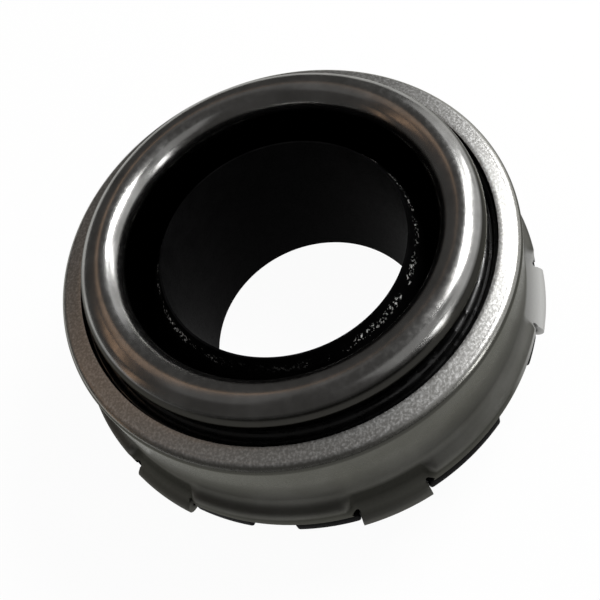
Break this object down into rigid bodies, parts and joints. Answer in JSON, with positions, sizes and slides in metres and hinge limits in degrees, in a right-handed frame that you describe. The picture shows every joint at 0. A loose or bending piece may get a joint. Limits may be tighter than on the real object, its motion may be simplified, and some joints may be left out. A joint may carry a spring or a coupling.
{
  "type": "clutch release bearing",
  "caption": "Self-centring clutch release bearing: black guide sleeve, crimped steel cover and a sealed ball bearing whose turning ring has a rounded nose.",
  "frame": {"origin": "centre of the guide sleeve's gearbox end face, on the bearing axis", "axes": "+Z along the axis towards the nose, X along the fork's axis"},
  "size_m": [0.0684, 0.0704, 0.0335],
  "materials": {
    "black_nylon": "satin moulded",
    "zinc_steel": "zinc plated, frosted",
    "nose_steel": "polished",
    "race_steel": "ground",
    "ball_steel": "polished",
    "spring_steel": "rolled",
    "cage_nylon": "moulded",
    "seal_rubber": "smooth, greased"
  },
  "bodies": {
    "carrier": {"guide_sleeve": "black_nylon", "cover": "zinc_steel"},
    "spring": {"wave_spring": "spring_steel"},
    "housing": {"outer_ring": "race_steel", "top_seal": "seal_rubber", "lower_seal": "seal_rubber"},
    "rotor": {"inner_ring": "nose_steel"},
    "cage": {"cage": "cage_nylon"},
    "ball_01": {"ball_01": "ball_steel"},
    "ball_02": {"ball_02": "ball_steel"},
    "ball_03": {"ball_03": "ball_steel"},
    "ball_04": {"ball_04": "ball_steel"},
    "ball_05": {"ball_05": "ball_steel"},
    "ball_06": {"ball_06": "ball_steel"},
    "ball_07": {"ball_07": "ball_steel"},
    "ball_08": {"ball_08": "ball_steel"},
    "ball_09": {"ball_09": "ball_steel"},
    "ball_10": {"ball_10": "ball_steel"},
    "ball_11": {"ball_11": "ball_steel"},
    "ball_12": {"ball_12": "ball_steel"},
    "ball_13": {"ball_13": "ball_steel"},
    "ball_14": {"ball_14": "ball_steel"},
    "ball_15": {"ball_15": "ball_steel"},
    "ball_16": {"ball_16": "ball_steel"},
    "ball_17": {"ball_17": "ball_steel"},
    "ball_18": {"ball_18": "ball_steel"},
    "ball_19": {"ball_19": "ball_steel"},
    "ball_20": {"ball_20": "ball_steel"}
  },
  "joints": [
    {"name": "float_x", "type": "slide", "parent": "carrier", "child": "spring", "axis": [1, 0, 0], "range_m": [-0.0005, 0.0005]},
    {"name": "float_y", "type": "slide", "parent": "spring", "child": "housing", "axis": [0, 1, 0], "range_m": [-0.0005, 0.0005]},
    {"name": "nose_spin", "type": "hinge", "parent": "housing", "child": "rotor", "pos_m": [0, 0, 0.0228], "axis": [0, 0, 1], "continuous": true},
    {"name": "cage_orbit", "type": "hinge", "parent": "housing", "child": "cage", "pos_m": [0, 0, 0.0228], "axis": [0, 0, 1], "continuous": true},
    {"name": "ball_01_roll", "type": "hinge", "parent": "cage", "child": "ball_01", "pos_m": [0.02656, 0, 0.0228], "axis": [0.6157, 0, 0.788], "continuous": true},
    {"name": "ball_02_roll", "type": "hinge", "parent": "cage", "child": "ball_02", "pos_m": [0.02526, 0.00821, 0.0228], "axis": [0.5855, 0.1902, 0.788], "continuous": true},
    {"name": "ball_03_roll", "type": "hinge", "parent": "cage", "child": "ball_03", "pos_m": [0.02149, 0.01561, 0.0228], "axis": [0.4981, 0.3619, 0.788], "continuous": true},
    {"name": "ball_04_roll", "type": "hinge", "parent": "cage", "child": "ball_04", "pos_m": [0.01561, 0.02149, 0.0228], "axis": [0.3619, 0.4981, 0.788], "continuous": true},
    {"name": "ball_05_roll", "type": "hinge", "parent": "cage", "child": "ball_05", "pos_m": [0.00821, 0.02526, 0.0228], "axis": [0.1902, 0.5855, 0.788], "continuous": true},
    {"name": "ball_06_roll", "type": "hinge", "parent": "cage", "child": "ball_06", "pos_m": [0, 0.02656, 0.0228], "axis": [0, 0.6157, 0.788], "continuous": true},
    {"name": "ball_07_roll", "type": "hinge", "parent": "cage", "child": "ball_07", "pos_m": [-0.00821, 0.02526, 0.0228], "axis": [-0.1902, 0.5855, 0.788], "continuous": true},
    {"name": "ball_08_roll", "type": "hinge", "parent": "cage", "child": "ball_08", "pos_m": [-0.01561, 0.02149, 0.0228], "axis": [-0.3619, 0.4981, 0.788], "continuous": true},
    {"name": "ball_09_roll", "type": "hinge", "parent": "cage", "child": "ball_09", "pos_m": [-0.02149, 0.01561, 0.0228], "axis": [-0.4981, 0.3619, 0.788], "continuous": true},
    {"name": "ball_10_roll", "type": "hinge", "parent": "cage", "child": "ball_10", "pos_m": [-0.02526, 0.00821, 0.0228], "axis": [-0.5855, 0.1902, 0.788], "continuous": true},
    {"name": "ball_11_roll", "type": "hinge", "parent": "cage", "child": "ball_11", "pos_m": [-0.02656, 0, 0.0228], "axis": [-0.6157, 0, 0.788], "continuous": true},
    {"name": "ball_12_roll", "type": "hinge", "parent": "cage", "child": "ball_12", "pos_m": [-0.02526, -0.00821, 0.0228], "axis": [-0.5855, -0.1902, 0.788], "continuous": true},
    {"name": "ball_13_roll", "type": "hinge", "parent": "cage", "child": "ball_13", "pos_m": [-0.02149, -0.01561, 0.0228], "axis": [-0.4981, -0.3619, 0.788], "continuous": true},
    {"name": "ball_14_roll", "type": "hinge", "parent": "cage", "child": "ball_14", "pos_m": [-0.01561, -0.02149, 0.0228], "axis": [-0.3619, -0.4981, 0.788], "continuous": true},
    {"name": "ball_15_roll", "type": "hinge", "parent": "cage", "child": "ball_15", "pos_m": [-0.00821, -0.02526, 0.0228], "axis": [-0.1902, -0.5855, 0.788], "continuous": true},
    {"name": "ball_16_roll", "type": "hinge", "parent": "cage", "child": "ball_16", "pos_m": [0, -0.02656, 0.0228], "axis": [0, -0.6157, 0.788], "continuous": true},
    {"name": "ball_17_roll", "type": "hinge", "parent": "cage", "child": "ball_17", "pos_m": [0.00821, -0.02526, 0.0228], "axis": [0.1902, -0.5855, 0.788], "continuous": true},
    {"name": "ball_18_roll", "type": "hinge", "parent": "cage", "child": "ball_18", "pos_m": [0.01561, -0.02149, 0.0228], "axis": [0.3619, -0.4981, 0.788], "continuous": true},
    {"name": "ball_19_roll", "type": "hinge", "parent": "cage", "child": "ball_19", "pos_m": [0.02149, -0.01561, 0.0228], "axis": [0.4981, -0.3619, 0.788], "continuous": true},
    {"name": "ball_20_roll", "type": "hinge", "parent": "cage", "child": "ball_20", "pos_m": [0.02526, -0.00821, 0.0228], "axis": [0.5855, -0.1902, 0.788], "continuous": true}
  ],
  "couplings": [
    {"joint": "cage_orbit", "follows": "nose_spin", "ratio": 0.46291},
    {"joint": "ball_01_roll", "follows": "nose_spin", "ratio": -5.2828},
    {"joint": "ball_02_roll", "follows": "nose_spin", "ratio": -5.2828},
    {"joint": "ball_03_roll", "follows": "nose_spin", "ratio": -5.2828},
    {"joint": "ball_04_roll", "follows": "nose_spin", "ratio": -5.2828},
    {"joint": "ball_05_roll", "follows": "nose_spin", "ratio": -5.2828},
    {"joint": "ball_06_roll", "follows": "nose_spin", "ratio": -5.2828},
    {"joint": "ball_07_roll", "follows": "nose_spin", "ratio": -5.2828},
    {"joint": "ball_08_roll", "follows": "nose_spin", "ratio": -5.2828},
    {"joint": "ball_09_roll", "follows": "nose_spin", "ratio": -5.2828},
    {"joint": "ball_10_roll", "follows": "nose_spin", "ratio": -5.2828},
    {"joint": "ball_11_roll", "follows": "nose_spin", "ratio": -5.2828},
    {"joint": "ball_12_roll", "follows": "nose_spin", "ratio": -5.2828},
    {"joint": "ball_13_roll", "follows": "nose_spin", "ratio": -5.2828},
    {"joint": "ball_14_roll", "follows": "nose_spin", "ratio": -5.2828},
    {"joint": "ball_15_roll", "follows": "nose_spin", "ratio": -5.2828},
    {"joint": "ball_16_roll", "follows": "nose_spin", "ratio": -5.2828},
    {"joint": "ball_17_roll", "follows": "nose_spin", "ratio": -5.2828},
    {"joint": "ball_18_roll", "follows": "nose_spin", "ratio": -5.2828},
    {"joint": "ball_19_roll", "follows": "nose_spin", "ratio": -5.2828},
    {"joint": "ball_20_roll", "follows": "nose_spin", "ratio": -5.2828}
  ]
}
